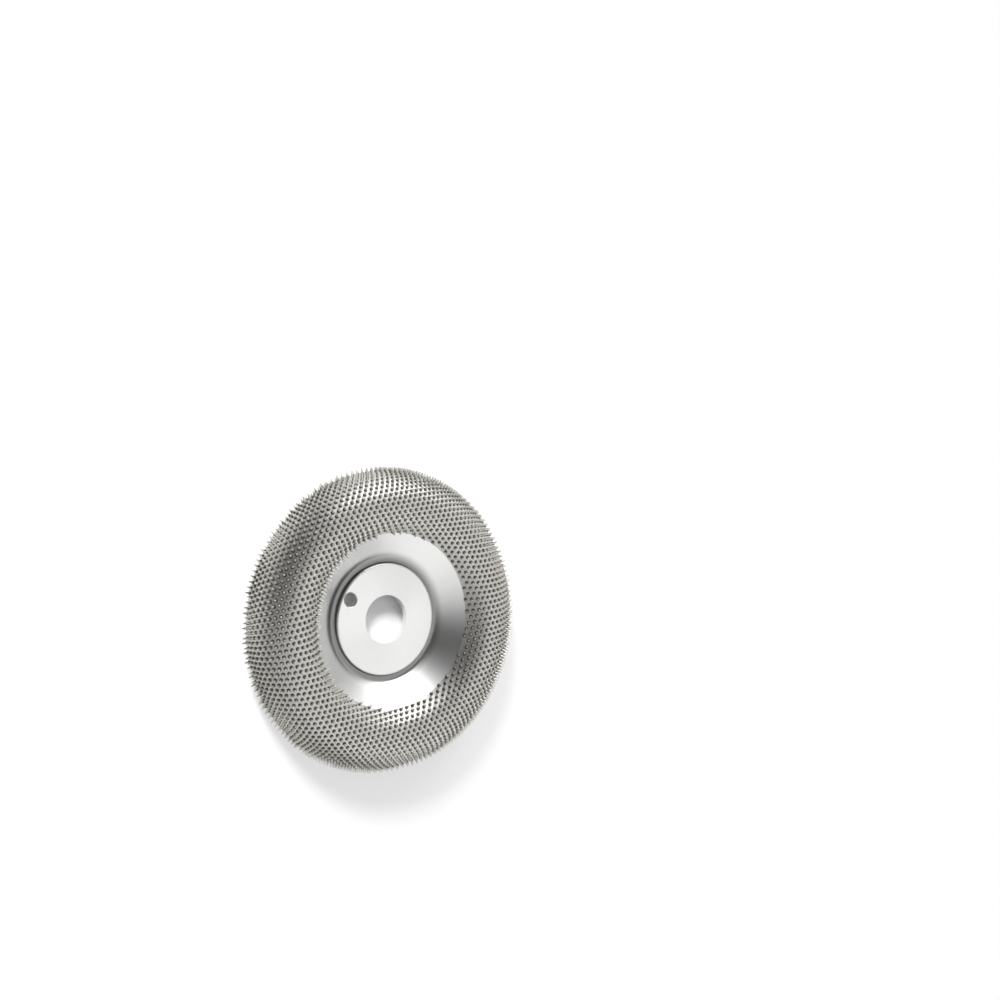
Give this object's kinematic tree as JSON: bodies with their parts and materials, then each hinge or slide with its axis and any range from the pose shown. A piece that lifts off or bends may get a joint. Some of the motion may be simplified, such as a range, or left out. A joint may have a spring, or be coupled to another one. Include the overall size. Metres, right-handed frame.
{
  "type": "carbide sanding disc",
  "caption": "Donut-shaped sanding disc for a small angle grinder: a pressed steel dish with a bored clamping hub and a rounded tyre covered in brazed carbide needles.",
  "frame": {"origin": "on the disc's axis, in the plane of the rear rim that it lies on", "axes": "+Z along the disc's axis, out of its working face; +X along the rows of needles"},
  "size_m": [0.1014, 0.1016, 0.0171],
  "materials": {
    "satin_steel": "turned satin steel",
    "brazed_carbide": "silver-grey brazed carbide grit"
  },
  "bodies": {
    "root": {"steel_dish": "satin_steel", "carbide_teeth": "brazed_carbide"}
  },
  "joints": []
}
